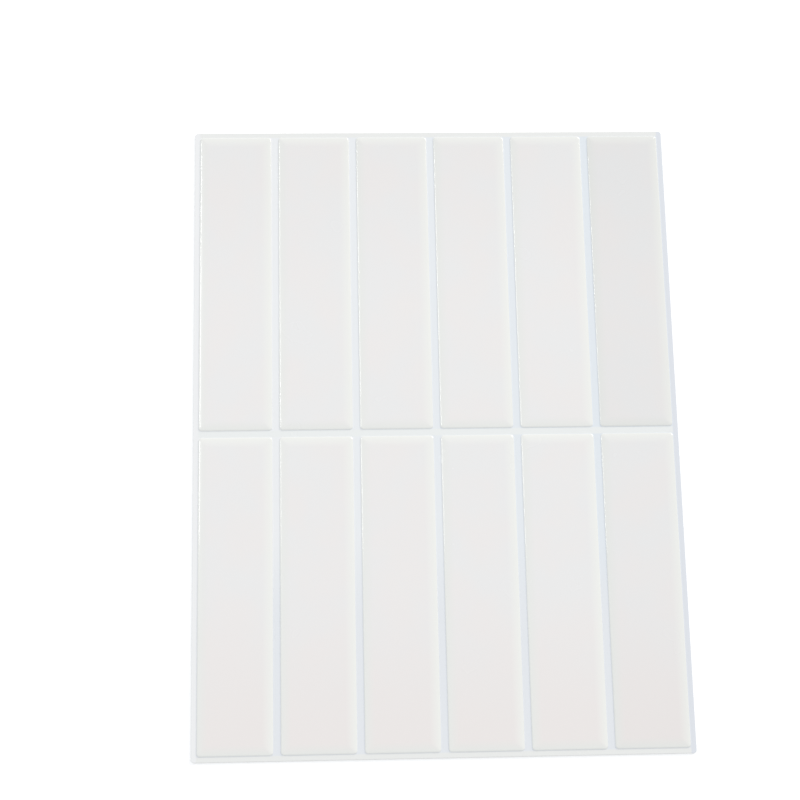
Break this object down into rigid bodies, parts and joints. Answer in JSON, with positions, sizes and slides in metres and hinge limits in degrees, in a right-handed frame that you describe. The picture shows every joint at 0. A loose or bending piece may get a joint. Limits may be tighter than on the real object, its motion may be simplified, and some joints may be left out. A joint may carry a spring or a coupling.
{
  "type": "peel and stick backsplash tile",
  "caption": "Self-adhesive wall tile sheet with a moulded stacked-brick face and a peel-off paper backing.",
  "frame": {"origin": "middle of the underside, on the surface that the sheet lies on", "axes": "+X along the short edges, +Y along the bricks and the long edges, +Z out of the moulded face"},
  "size_m": [0.2322, 0.305, 0.002],
  "materials": {
    "tile_face": "gloss",
    "liner_paper": "satin"
  },
  "bodies": {
    "root": {"tile_sheet": "tile_face", "release_liner": "liner_paper"}
  },
  "joints": []
}
